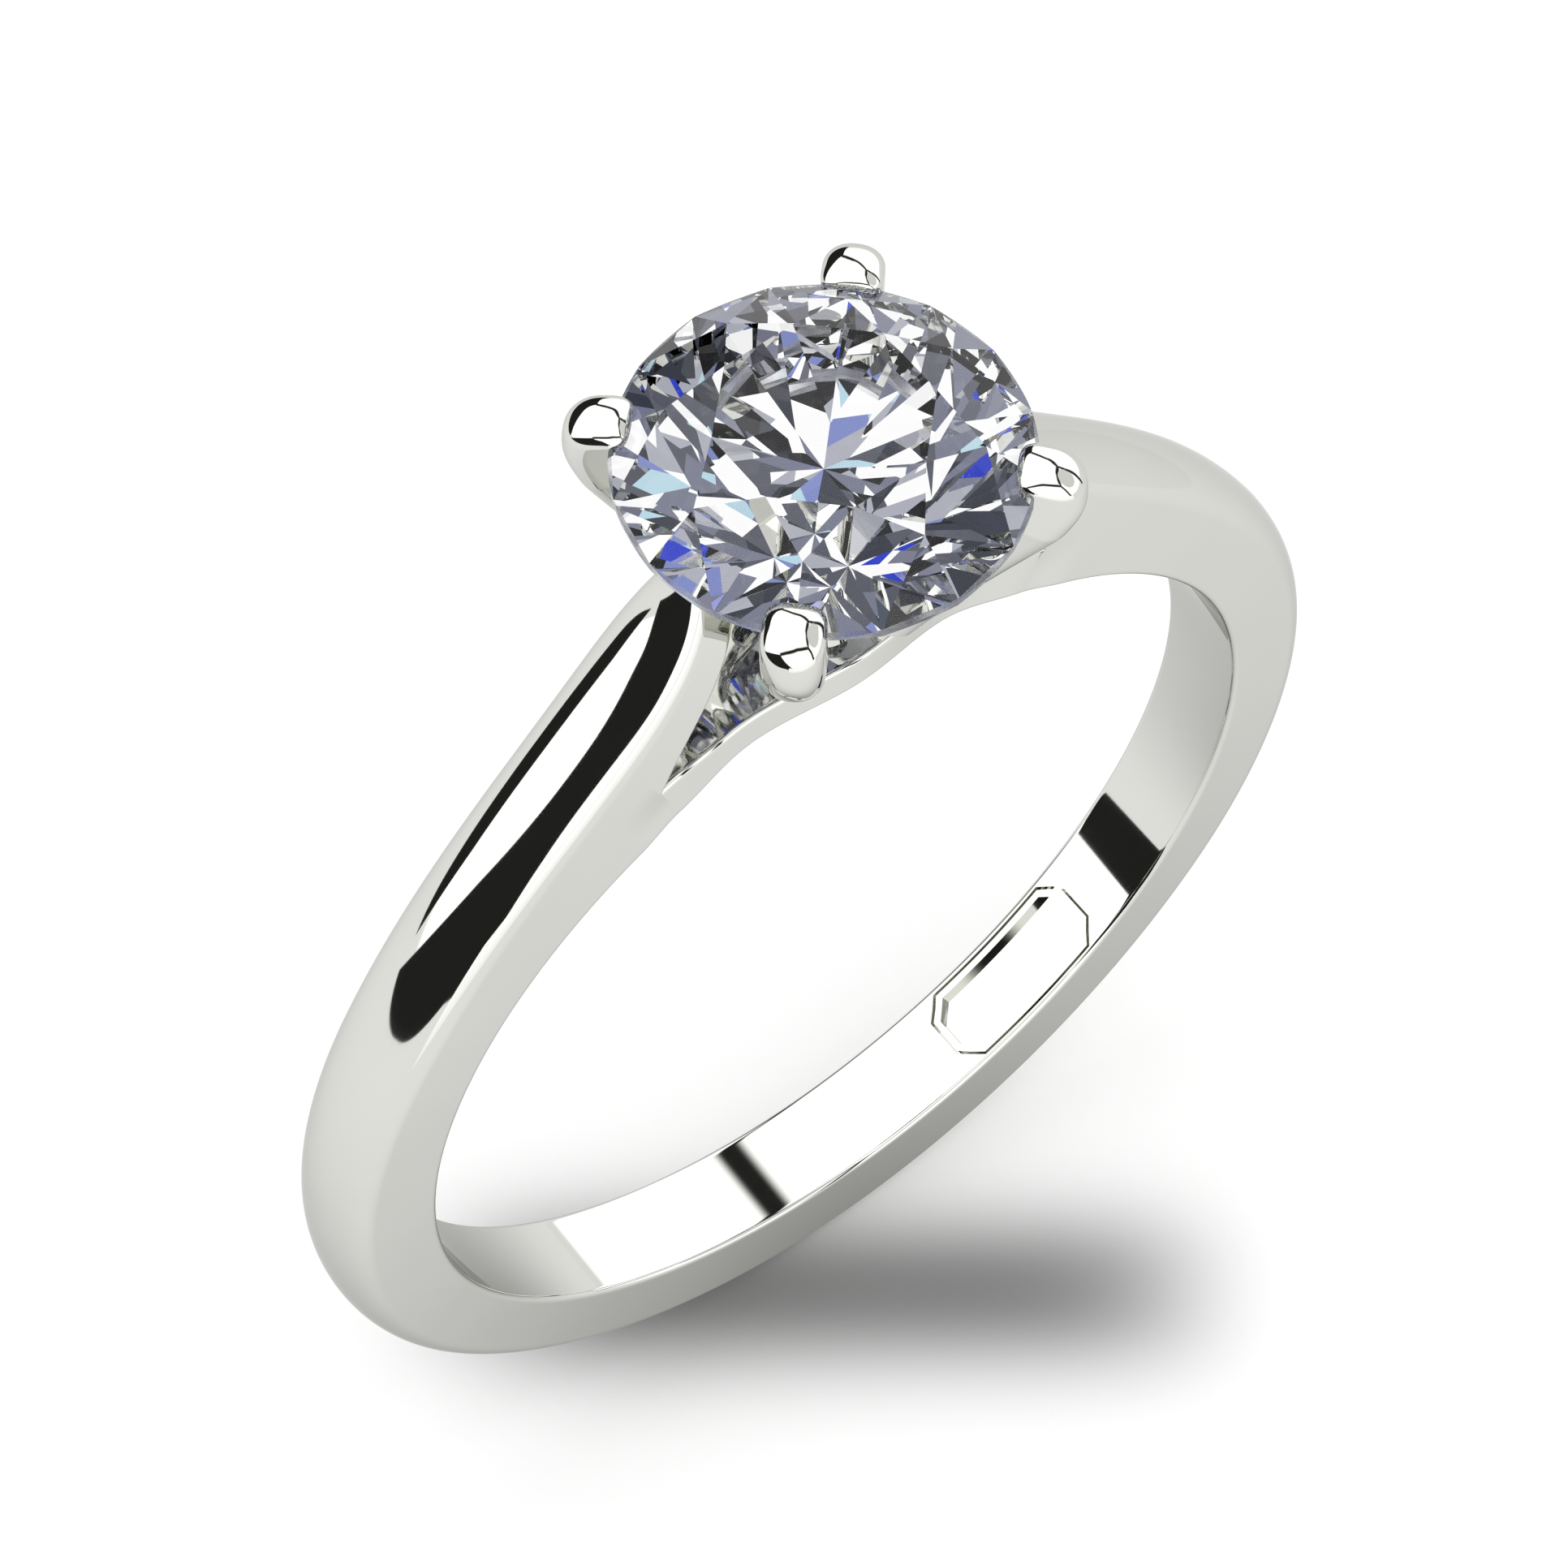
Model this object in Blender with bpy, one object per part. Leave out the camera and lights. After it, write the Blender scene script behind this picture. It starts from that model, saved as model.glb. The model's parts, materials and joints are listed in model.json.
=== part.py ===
"""Four-claw cathedral solitaire ring: shank, split shoulders, bridge, claw head and brilliant-cut stone.

The bore's centre is the origin. The finger runs along Y, the band lies in the XZ plane, the stone is at +Z.
"""
import math

import bmesh
import bpy
from mathutils import Matrix, Vector

MM = 0.001

# Shank
BORE_RADIUS = 8.6 * MM
SHANK_WIDTH = 1.84 * MM
SHANK_THICKNESS = 1.8 * MM
BORE_EDGE_ROUND = 0.10 * MM
# Height of the dome over the flat sides, at the foot of the hoop and on its flanks
DOME_FOOT = 0.24 * MM
DOME_FLANK = 0.54 * MM
FOOT_SPREAD = math.radians(56)

# Shoulders: each leaves the hoop at a tangent and sweeps up to the stone
SHOULDER_START = math.radians(119)
SHOULDER_START_HANDLE = 4.8 * MM
SHOULDER_TIP_HANDLE = 2.28 * MM
SHOULDER_TIP_INSET = 0.62 * MM
SHOULDER_TIP_DROP = 1.14 * MM
SHOULDER_TIP_LEAN = math.radians(2)
SHOULDER_TIP_WIDTH = 0.56 * MM
SHOULDER_TIP_DOME = 0.58 * MM
SHOULDER_TIP_SIDE = 0.58 * MM
SHOULDER_TAPER_START = 0.72
SHOULDER_TOE_LENGTH = 0.55 * MM
SHOULDER_TOE_LEAN = math.radians(28)
SHOULDER_TOE_DOME = 0.34 * MM

# The split, where shoulder and bridge part, as an angle from the top of the ring
SPLIT_ANGLE = math.radians(23)
PINCH_START_ANGLE = math.radians(29)
BRIDGE_ROOT_THICKNESS = 1.02 * MM
BRIDGE_ROOT_SETBACK = 0.06 * MM

# Bridge, slim beside the head and wider under the claws
BRIDGE_THICKNESS = 0.75 * MM
BRIDGE_WAIST_WIDTH = 1.52 * MM
BRIDGE_WAIST_ANGLE = math.radians(14)
BRIDGE_HUB_MARGIN = 0.25 * MM
BRIDGE_EDGE_ROUND = 0.08 * MM

# Stone, a round brilliant
STONE_DIAMETER = 6.4 * MM
TABLE_DIAMETER = 3.41 * MM
GIRDLE_THICKNESS = 0.17 * MM
CROWN_ANGLE = math.radians(34.6)
PAVILION_ANGLE = math.radians(41.1)
STAR_LENGTH = 0.5
LOWER_HALF_LENGTH = 0.783
CULET_CLEARANCE = 1.346 * MM
STONE_TURN = math.radians(22.5)

# Claws
CLAW_FOOT_RADIUS = 1.07 * MM
CLAW_FOOT_ANGLE = math.radians(60.7)
CLAW_FOOT_HANDLE = 3.9 * MM
CLAW_TIP_HANDLE = 1.37 * MM
CLAW_TIP_LEAN = math.radians(16.2)
CLAW_STANDOFF = 0.108 * MM
CLAW_TIP_RISE = 0.564 * MM
CLAW_TIP_WIDTH = 0.96 * MM
CLAW_FOOT_WIDTH = 0.43 * MM
CLAW_TIP_DEPTH = 1.05 * MM
CLAW_FOOT_DEPTH = 0.72 * MM
CLAW_CAP_LENGTH = 0.35 * MM
CLAW_SQUARENESS = 2.23
CLAW_STEM_SQUARENESS = 4.0
CLAW_FULL_AT = 0.59
# The tip is filed to a slope, which comes in between these distances from its end
CLAW_SLOPE = math.radians(20.7)
CLAW_SLOPE_START = 1.16 * MM
CLAW_SLOPE_FULL = 0.24 * MM

# Collet, the boss between the claw feet
COLLET_CLEARANCE = 0.06 * MM
COLLET_TAPER = 0.17 * MM
COLLET_HEIGHT = 0.6 * MM
COLLET_LIP_HEIGHT = 0.16 * MM
COLLET_DISH_DEPTH = 0.08 * MM

# Clearances
SOLDER_GAP = 0.02 * MM
STONE_SEAT_GAP = 0.025 * MM

# Fineness of the mesh
FOOT_STEPS = 34
SHOULDER_ROOT_STEPS = 12
SHOULDER_STEPS = 18
TOE_STEPS = 4
BRIDGE_STEPS = 36
DOME_STEPS = 12
ROUND_STEPS = 2
CLAW_STEPS = 18
CLAW_CAP_STEPS = 6
CLAW_SIDES = 20
GIRDLE_SIDES = 96
COLLET_SIDES = 32
CUTTER_SIDES = 128
HALVINGS = 50

# Worked out from the sizes above
SHANK_HALF = SHANK_WIDTH / 2
BRIDGE_ROOT_HALF = SHANK_HALF - BRIDGE_ROOT_SETBACK
BRIDGE_WAIST_HALF = BRIDGE_WAIST_WIDTH / 2
BRIDGE_HUB_HALF = CLAW_FOOT_RADIUS * math.sin(math.pi / 4) + BRIDGE_HUB_MARGIN
CLAW_FOOT_REACH = CLAW_FOOT_DEPTH / 2 / math.sin(CLAW_FOOT_ANGLE)
COLLET_FOOT_RADIUS = CLAW_FOOT_RADIUS - CLAW_FOOT_REACH - COLLET_CLEARANCE
COLLET_TOP_RADIUS = COLLET_FOOT_RADIUS - COLLET_TAPER
STONE_RADIUS = STONE_DIAMETER / 2
PAVILION_DEPTH = STONE_RADIUS * math.tan(PAVILION_ANGLE)
BRIDGE_TOP = BORE_RADIUS + BRIDGE_THICKNESS
CULET_HEIGHT = BRIDGE_TOP + CULET_CLEARANCE
GIRDLE_HEIGHT = CULET_HEIGHT + PAVILION_DEPTH + GIRDLE_THICKNESS / 2
# Where shoulders and bridge begin, a solder joint away from the ends of the shank
FREE_END_ANGLE = SPLIT_ANGLE - SOLDER_GAP / BORE_RADIUS


def clear_scene():
    for item in list(bpy.data.objects):
        bpy.data.objects.remove(item, do_unlink=True)


def metal(name, colour, roughness):
    material = bpy.data.materials.new(name)
    material.use_nodes = True
    shader = material.node_tree.nodes["Principled BSDF"]
    shader.inputs["Base Color"].default_value = (*colour, 1.0)
    shader.inputs["Metallic"].default_value = 1.0
    shader.inputs["Roughness"].default_value = roughness
    return material


def gem(name, index):
    material = bpy.data.materials.new(name)
    material.use_nodes = True
    shader = material.node_tree.nodes["Principled BSDF"]
    shader.inputs["Base Color"].default_value = (1.0, 1.0, 1.0, 1.0)
    shader.inputs["Metallic"].default_value = 0.0
    shader.inputs["Roughness"].default_value = 0.0
    shader.inputs["IOR"].default_value = index
    shader.inputs["Transmission Weight"].default_value = 1.0
    return material


def smooth(share):
    """Eases from 0 to 1 with level ends."""
    share = min(max(share, 0.0), 1.0)
    return share * share * (3.0 - 2.0 * share)


def mix(first, second, share):
    return first + (second - first) * share


def bezier(points, share):
    """A point on a cubic curve, and the curve's unit direction there."""
    a, b, c, d = points
    rest = 1.0 - share
    place = a * rest ** 3 + b * (3 * rest ** 2 * share) + c * (3 * rest * share ** 2) + d * share ** 3
    along = (b - a) * (3 * rest ** 2) + (c - b) * (6 * rest * share) + (d - c) * (3 * share ** 2)
    return place, along.normalized()


def right_of(direction):
    """The outward side of a path that runs up the right half of the ring."""
    return Vector((direction.y, -direction.x))


def finish_mesh(name, bm, material, smooth_angle=math.radians(35)):
    bmesh.ops.recalc_face_normals(bm, faces=bm.faces)
    mesh = bpy.data.meshes.new(name)
    bm.to_mesh(mesh)
    bm.free()
    mesh.materials.append(material)
    mesh.shade_smooth()
    mesh.set_sharp_from_angle(angle=smooth_angle)
    item = bpy.data.objects.new(name, mesh)
    bpy.context.scene.collection.objects.link(item)
    return item


def loft(name, rings, material):
    """Skins equal rings of points, one after another, and caps both ends."""
    bm = bmesh.new()
    loops = [[bm.verts.new(point) for point in ring] for ring in rings]
    count = len(rings[0])
    for low, high in zip(loops, loops[1:]):
        for i in range(count):
            j = (i + 1) % count
            bm.faces.new((low[i], low[j], high[j], high[i]))
    bm.faces.new(loops[0])
    bm.faces.new(loops[-1])
    return finish_mesh(name, bm, material)


def cut(item, cutter):
    modifier = item.modifiers.new(cutter.name, "BOOLEAN")
    modifier.operation = "DIFFERENCE"
    modifier.solver = "EXACT"
    modifier.object = cutter


def as_cutter(item):
    item.hide_render = True
    item.display_type = "WIRE"
    return item


# The rim is where the flat side of the band meets its dome. It is drawn in the XZ plane, on the right half.

def hoop_dome(angle):
    """Height of the dome at an angle from the foot of the hoop."""
    return mix(DOME_FOOT, DOME_FLANK, smooth(angle / FOOT_SPREAD))


def hoop_rim(angle):
    radius = BORE_RADIUS + SHANK_THICKNESS - hoop_dome(angle)
    return Vector((math.sin(angle), -math.cos(angle))) * radius


def shoulder_curve():
    start = hoop_rim(SHOULDER_START)
    leave = Vector((math.cos(SHOULDER_START), math.sin(SHOULDER_START)))
    tip = Vector((STONE_RADIUS - SHOULDER_TIP_INSET, GIRDLE_HEIGHT - SHOULDER_TIP_DROP))
    arrive = Vector((-math.sin(SHOULDER_TIP_LEAN), math.cos(SHOULDER_TIP_LEAN)))
    return (start, start + leave * SHOULDER_START_HANDLE, tip - arrive * SHOULDER_TIP_HANDLE, tip)


def share_at(curve, angle):
    """The share of the shoulder's curve that lies at an angle from the top, found by halving."""
    low, high = 0.0, 1.0
    for _ in range(HALVINGS):
        middle = (low + high) / 2
        place, _ = bezier(curve, middle)
        if math.atan2(place.x, place.y) > angle:
            low = middle
        else:
            high = middle
    return low


def shoulder_half_width(share):
    taper = smooth((share - SHOULDER_TAPER_START) / (1.0 - SHOULDER_TAPER_START))
    return mix(SHANK_HALF, SHOULDER_TIP_WIDTH / 2, taper)


def shoulder_dome(share):
    return mix(DOME_FLANK, SHOULDER_TIP_DOME, share)


def dome_points(rim, outward, half_width, height):
    """The dome over the band, from its +Y edge to its -Y edge, as half an ellipse."""
    points = []
    for step in range(DOME_STEPS + 1):
        turn = math.pi * step / DOME_STEPS
        place = rim + outward * (height * math.sin(turn))
        points.append(Vector((place.x, half_width * math.cos(turn), place.y)))
    return points


def rounded_edge(base, inward_half, outward, radius, side):
    """A rounded lower edge, from the underside to the flat side on one side of the band."""
    points = []
    for step in range(ROUND_STEPS + 1):
        turn = math.pi / 2 * step / ROUND_STEPS
        lift = radius * (1.0 - math.cos(turn))
        place = base + outward * lift
        reach = inward_half - radius * (1.0 - math.sin(turn))
        points.append(Vector((place.x, side * reach, place.y)))
    return points


def band_ring(base, base_half, rim, rim_half, outward, dome):
    """One closed section of the band: flat underside, rounded edges, flat sides and a domed top."""
    edge = rounded_edge(base, base_half, outward, BORE_EDGE_ROUND, 1.0)
    top = dome_points(rim, outward, rim_half, dome)
    other = rounded_edge(base, base_half, outward, BORE_EDGE_ROUND, -1.0)
    return edge + top + other[::-1]


def mirrored(ring):
    """The same section on the left half, with its points in the same order along the path."""
    return [Vector((-point.x, point.y, point.z)) for point in ring]


def foot_ring(angle):
    outward = Vector((math.sin(angle), -math.cos(angle)))
    base = outward * BORE_RADIUS
    return band_ring(base, SHANK_HALF, hoop_rim(angle), SHANK_HALF, outward, hoop_dome(angle))


def shoulder_root_ring(curve, share):
    """A section of the shank where its outside already follows the shoulder's curve."""
    rim, along = bezier(curve, share)
    outward = rim.normalized()
    angle = math.atan2(rim.x, rim.y)
    pinch = smooth((PINCH_START_ANGLE - angle) / (PINCH_START_ANGLE - SPLIT_ANGLE))
    base_half = mix(SHANK_HALF, BRIDGE_ROOT_HALF, pinch)
    dome = shoulder_dome(share) / outward.dot(right_of(along))
    base = outward * BORE_RADIUS
    return band_ring(base, base_half, rim, shoulder_half_width(share), outward, dome)


def make_shank(material):
    curve = shoulder_curve()
    split = share_at(curve, SPLIT_ANGLE)
    half = [foot_ring(SHOULDER_START * step / FOOT_STEPS) for step in range(FOOT_STEPS + 1)]
    for step in range(1, SHOULDER_ROOT_STEPS + 1):
        half.append(shoulder_root_ring(curve, split * step / SHOULDER_ROOT_STEPS))
    left = [mirrored(ring) for ring in half[:0:-1]]
    return loft("shank", left + half, material)


def shoulder_frames():
    """Rim, outward direction, half width, dome and side height of each section of a free shoulder."""
    curve = shoulder_curve()
    root = share_at(curve, FREE_END_ANGLE)
    root_rim, _ = bezier(curve, root)
    root_side = root_rim.length - BORE_RADIUS - BRIDGE_ROOT_THICKNESS - SOLDER_GAP
    frames = []
    for step in range(SHOULDER_STEPS + 1):
        along_share = step / SHOULDER_STEPS
        share = mix(root, 1.0, along_share)
        rim, along = bezier(curve, share)
        normal = right_of(along)
        outward = rim.normalized().lerp(normal, smooth(along_share * 2.0)).normalized()
        slant = outward.dot(normal)
        side = mix(SHOULDER_TIP_SIDE, root_side, (1.0 - along_share) ** 2)
        frames.append((rim, outward, shoulder_half_width(share), shoulder_dome(share) / slant, side))
    tip, outward, half_width, _, side = frames[-1]
    for step in range(1, TOE_STEPS + 1):
        share = step / TOE_STEPS
        lean = mix(SHOULDER_TIP_LEAN, SHOULDER_TOE_LEAN, share / 2)
        rim = tip + Vector((-math.sin(lean), math.cos(lean))) * (SHOULDER_TOE_LENGTH * share)
        turn = mix(SHOULDER_TIP_LEAN, SHOULDER_TOE_LEAN, share)
        toe_out = Vector((math.cos(turn), math.sin(turn)))
        dome = mix(SHOULDER_TIP_DOME, SHOULDER_TOE_DOME, share)
        frames.append((rim, toe_out, half_width, dome, side))
    return frames


def make_shoulder(name, is_left, stone_seat, material):
    rings = []
    for rim, outward, half_width, dome, side in shoulder_frames():
        base = rim - outward * side
        rings.append(band_ring(base, half_width, rim, half_width, outward, dome))
    if is_left:
        rings = [mirrored(ring) for ring in rings]
    shoulder = loft(name, rings, material)
    cut(shoulder, stone_seat)
    return shoulder


def bridge_half_width(angle):
    """Half the bridge's width at an angle from the top: wide at its roots and hub, slim at its waists."""
    if angle > BRIDGE_WAIST_ANGLE:
        share = smooth((angle - BRIDGE_WAIST_ANGLE) / (SPLIT_ANGLE - BRIDGE_WAIST_ANGLE))
        return mix(BRIDGE_WAIST_HALF, BRIDGE_ROOT_HALF, share)
    return mix(BRIDGE_HUB_HALF, BRIDGE_WAIST_HALF, smooth(angle / BRIDGE_WAIST_ANGLE))


def bridge_height(angle):
    share = smooth((angle - BRIDGE_WAIST_ANGLE) / (SPLIT_ANGLE - BRIDGE_WAIST_ANGLE))
    return mix(BRIDGE_THICKNESS, BRIDGE_ROOT_THICKNESS, share)


def bridge_ring(angle):
    outward = Vector((math.sin(angle), math.cos(angle)))
    half = bridge_half_width(abs(angle))
    low = outward * BORE_RADIUS
    high = outward * (BORE_RADIUS + bridge_height(abs(angle)))
    ring = []
    for side in (1.0, -1.0):
        lower = rounded_edge(low, half, outward, BORE_EDGE_ROUND, side)
        upper = rounded_edge(high, half, -outward, BRIDGE_EDGE_ROUND, side)
        edge = lower + upper[::-1]
        ring += edge if side > 0 else edge[::-1]
    return ring


def make_bridge(material):
    shares = [step / BRIDGE_STEPS for step in range(BRIDGE_STEPS + 1)]
    angles = [mix(-FREE_END_ANGLE, FREE_END_ANGLE, share) for share in shares]
    return loft("bridge", [bridge_ring(angle) for angle in angles], material)


# The stone is cut as a lapidary cuts it: a round blank, then one flat after another.

def plane_through(a, b, c):
    """Unit normal, pointing away from the stone's axis centre, and distance from the centre."""
    normal = (b - a).cross(c - a).normalized()
    distance = normal.dot(a)
    if distance < 0:
        normal, distance = -normal, -distance
    return normal, distance


def polar(radius, angle, height):
    return Vector((radius * math.cos(angle), radius * math.sin(angle), height))


def facet_planes():
    """All the flats of a round brilliant, about the middle of its girdle."""
    eighth = math.pi / 4
    hill = GIRDLE_THICKNESS / 2
    table_radius = TABLE_DIAMETER / 2
    table_mid = table_radius * math.cos(eighth / 2)
    star_radius = mix(table_mid, STONE_RADIUS, STAR_LENGTH)
    ridge = math.cos(eighth / 2)
    table_height = hill + (STONE_RADIUS - table_radius) * math.tan(CROWN_ANGLE)
    star_height = hill + (STONE_RADIUS - star_radius * ridge) * math.tan(CROWN_ANGLE)
    lower_radius = STONE_RADIUS * (1.0 - LOWER_HALF_LENGTH)
    lower_height = -hill - (STONE_RADIUS - lower_radius * ridge) * math.tan(PAVILION_ANGLE)
    planes = [(Vector((0, 0, 1)), table_height)]
    for k in range(8):
        main = k * eighth
        for angle, height, lift in ((CROWN_ANGLE, hill, 1.0), (PAVILION_ANGLE, hill, -1.0)):
            normal = polar(math.sin(angle), main, lift * math.cos(angle))
            planes.append((normal, STONE_RADIUS * math.sin(angle) + height * math.cos(angle)))
        corner = polar(table_radius, main, table_height)
        next_corner = polar(table_radius, main + eighth, table_height)
        star = polar(star_radius, main + eighth / 2, star_height)
        lower = polar(lower_radius, main + eighth / 2, lower_height)
        planes.append(plane_through(corner, next_corner, star))
        for point, height in ((star, hill), (lower, -hill)):
            middle = polar(STONE_RADIUS, main + eighth / 2, height)
            for end in (main, main + eighth):
                planes.append(plane_through(point, middle, polar(STONE_RADIUS, end, height)))
    return planes


def make_brilliant(name, grow, material):
    """The stone, or a cutter of its shape grown by a clearance."""
    bm = bmesh.new()
    radius = STONE_RADIUS + grow
    depth = 2.0 * (PAVILION_DEPTH + GIRDLE_THICKNESS)
    bmesh.ops.create_cone(
        bm, cap_ends=True, segments=GIRDLE_SIDES, radius1=radius, radius2=radius, depth=depth)
    for normal, distance in facet_planes():
        shape = bm.verts[:] + bm.edges[:] + bm.faces[:]
        place = normal * (distance + grow)
        result = bmesh.ops.bisect_plane(
            bm, geom=shape, dist=1e-9, plane_co=place, plane_no=normal, clear_outer=True)
        rim = [part for part in result["geom_cut"] if isinstance(part, bmesh.types.BMEdge)]
        if len(rim) > 2:
            bmesh.ops.contextual_create(bm, geom=rim)
    bmesh.ops.rotate(bm, verts=bm.verts, matrix=Matrix.Rotation(STONE_TURN, 3, "Z"))
    bmesh.ops.translate(bm, verts=bm.verts, vec=Vector((0, 0, GIRDLE_HEIGHT)))
    return finish_mesh(name, bm, material, smooth_angle=math.radians(5))


def claw_path():
    foot = Vector((CLAW_FOOT_RADIUS, BRIDGE_TOP))
    rise = Vector((math.cos(CLAW_FOOT_ANGLE), math.sin(CLAW_FOOT_ANGLE)))
    tip = Vector((STONE_RADIUS + CLAW_STANDOFF, GIRDLE_HEIGHT + CLAW_TIP_RISE))
    arrive = Vector((-math.sin(CLAW_TIP_LEAN), math.cos(CLAW_TIP_LEAN)))
    return (foot, foot + rise * CLAW_FOOT_HANDLE, tip - arrive * CLAW_TIP_HANDLE, tip)


def share_before_tip(path, distance):
    """The share of a path at which a given distance is left to its end, found by halving."""
    low, high = 0.0, 1.0
    for _ in range(HALVINGS):
        middle = (low + high) / 2
        place, _ = bezier(path, middle)
        if (path[3] - place).length > distance:
            low = middle
        else:
            high = middle
    return low


def claw_ring(centre, along, half_width, half_depth, inner_squareness, slope=0.0):
    """A section of a claw: an oval, flatter towards the stone, square to the path or sloped outward."""
    outward = right_of(along)
    ring = []
    for k in range(CLAW_SIDES):
        turn = 2.0 * math.pi * k / CLAW_SIDES
        power = 2.0 / (CLAW_SQUARENESS if math.cos(turn) > 0 else inner_squareness)
        across = math.copysign(abs(math.sin(turn)) ** power, math.sin(turn))
        out = math.copysign(abs(math.cos(turn)) ** power, math.cos(turn))
        reach = half_depth * out
        place = centre + outward * reach
        ring.append(Vector((place.x, half_width * across, place.y - slope * reach)))
    return ring


def claw_shares():
    """Shares of the path to section: even along the stem, closer together round the tip."""
    path = claw_path()
    cap = 1.0 - share_before_tip(path, CLAW_CAP_LENGTH)
    shares = [mix(0.0, 1.0 - cap, step / CLAW_STEPS) for step in range(CLAW_STEPS + 1)]
    for step in range(1, CLAW_CAP_STEPS):
        shares.append(1.0 - cap + cap * math.sin(math.pi / 2 * step / CLAW_CAP_STEPS))
    return shares, cap


def make_claw(name, angle, cutters, material):
    path = claw_path()
    shares, cap = claw_shares()
    slope_start = share_before_tip(path, CLAW_SLOPE_START)
    slope_full = share_before_tip(path, CLAW_SLOPE_FULL)
    foot_along = (path[1] - path[0]).normalized()
    sunk_foot = path[0] - foot_along * CLAW_FOOT_DEPTH
    foot = (CLAW_FOOT_WIDTH / 2, CLAW_FOOT_DEPTH / 2, CLAW_STEM_SQUARENESS)
    rings = [claw_ring(sunk_foot, foot_along, *foot)]
    for share in shares:
        centre, along = bezier(path, share)
        growth = min(share / CLAW_FULL_AT, 1.0)
        into_cap = max(0.0, (share - (1.0 - cap)) / cap)
        shrink = math.sqrt(1.0 - into_cap ** 2)
        half_width = mix(CLAW_FOOT_WIDTH, CLAW_TIP_WIDTH, growth) / 2 * shrink
        half_depth = mix(CLAW_FOOT_DEPTH, CLAW_TIP_DEPTH, growth) / 2 * shrink
        slope = math.tan(CLAW_SLOPE) * smooth((share - slope_start) / (slope_full - slope_start))
        inner_squareness = mix(CLAW_STEM_SQUARENESS, CLAW_SQUARENESS, into_cap)
        rings.append(claw_ring(centre, along, half_width, half_depth, inner_squareness, slope))
    turn = Matrix.Rotation(angle, 3, "Z")
    claw = loft(name, [[turn @ point for point in ring] for ring in rings], material)
    for cutter in cutters:
        cut(claw, cutter)
    return claw


def make_bridge_seat(material):
    """A cylinder just larger than the bridge, which shapes the feet that stand on it."""
    bm = bmesh.new()
    radius = (BRIDGE_TOP + SOLDER_GAP) / math.cos(math.pi / CUTTER_SIDES)
    bmesh.ops.create_cone(
        bm, cap_ends=True, segments=CUTTER_SIDES, radius1=radius, radius2=radius, depth=STONE_DIAMETER,
        matrix=Matrix.Rotation(math.pi / 2, 4, "X"))
    return as_cutter(finish_mesh("bridge_seat_cutter", bm, material))


def make_collet(bridge_seat, material):
    high = BRIDGE_TOP + COLLET_HEIGHT
    profile = [
        (COLLET_FOOT_RADIUS, BRIDGE_TOP - COLLET_HEIGHT),
        (COLLET_FOOT_RADIUS, BRIDGE_TOP),
        (COLLET_TOP_RADIUS, high - COLLET_LIP_HEIGHT),
        (COLLET_TOP_RADIUS, high),
        (COLLET_TOP_RADIUS / 2, high - COLLET_DISH_DEPTH)]
    turns = [2.0 * math.pi * k / COLLET_SIDES for k in range(COLLET_SIDES)]
    rings = [[polar(radius, turn, height) for turn in turns] for radius, height in profile]
    collet = loft("collet", rings, material)
    cut(collet, bridge_seat)
    return collet


def build():
    clear_scene()
    white_gold = metal("white_gold", (0.80, 0.80, 0.77), 0.06)
    diamond = gem("diamond", 2.417)
    stone_seat = as_cutter(make_brilliant("stone_seat_cutter", STONE_SEAT_GAP, white_gold))
    bridge_seat = make_bridge_seat(white_gold)
    make_shank(white_gold)
    make_shoulder("left_shoulder", True, stone_seat, white_gold)
    make_shoulder("right_shoulder", False, stone_seat, white_gold)
    make_bridge(white_gold)
    make_collet(bridge_seat, white_gold)
    for name, degrees in (("claw_back_right", 45), ("claw_back_left", 135),
                          ("claw_front_left", 225), ("claw_front_right", 315)):
        make_claw(name, math.radians(degrees), (stone_seat, bridge_seat), white_gold)
    make_brilliant("diamond", 0.0, diamond)


build()
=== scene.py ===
"""Looks of a four-claw solitaire ring: polished white metal, a brilliant-cut stone and a white studio."""
import json
import math

import bmesh
import bpy
from mathutils import Matrix, Vector


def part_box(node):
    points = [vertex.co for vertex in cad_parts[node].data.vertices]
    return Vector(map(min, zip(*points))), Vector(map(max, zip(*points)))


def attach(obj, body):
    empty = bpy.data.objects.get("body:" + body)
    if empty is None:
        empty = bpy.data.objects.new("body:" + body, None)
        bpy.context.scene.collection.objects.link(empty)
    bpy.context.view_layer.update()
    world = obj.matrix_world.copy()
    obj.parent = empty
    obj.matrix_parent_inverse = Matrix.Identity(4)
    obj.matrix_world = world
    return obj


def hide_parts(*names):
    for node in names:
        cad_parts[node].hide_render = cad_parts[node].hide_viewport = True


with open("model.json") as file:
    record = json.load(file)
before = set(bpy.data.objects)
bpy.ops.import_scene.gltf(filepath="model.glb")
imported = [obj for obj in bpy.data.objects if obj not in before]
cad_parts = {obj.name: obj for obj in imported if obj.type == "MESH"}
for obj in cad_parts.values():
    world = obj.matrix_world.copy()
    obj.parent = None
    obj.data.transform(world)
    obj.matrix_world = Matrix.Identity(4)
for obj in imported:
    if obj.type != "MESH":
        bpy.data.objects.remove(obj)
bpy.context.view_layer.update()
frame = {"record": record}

MM = 0.001
ROOT = "root"

# Sizes read from the frame
MOUNTS = {mount["name"]: mount for mount in frame["record"]["mounts"]}
BORE_RADIUS = MOUNTS["finger_bore"]["dims"]["r_mm"] * MM
SHANK_LOW, SHANK_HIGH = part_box("shank")
SHANK_HALF = SHANK_HIGH.y
SHANK_THICKNESS = -SHANK_LOW.z - BORE_RADIUS
STONE_LOW, STONE_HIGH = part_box("diamond")
STONE_RADIUS = STONE_HIGH.x
CULET_HEIGHT = STONE_LOW.z

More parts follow.
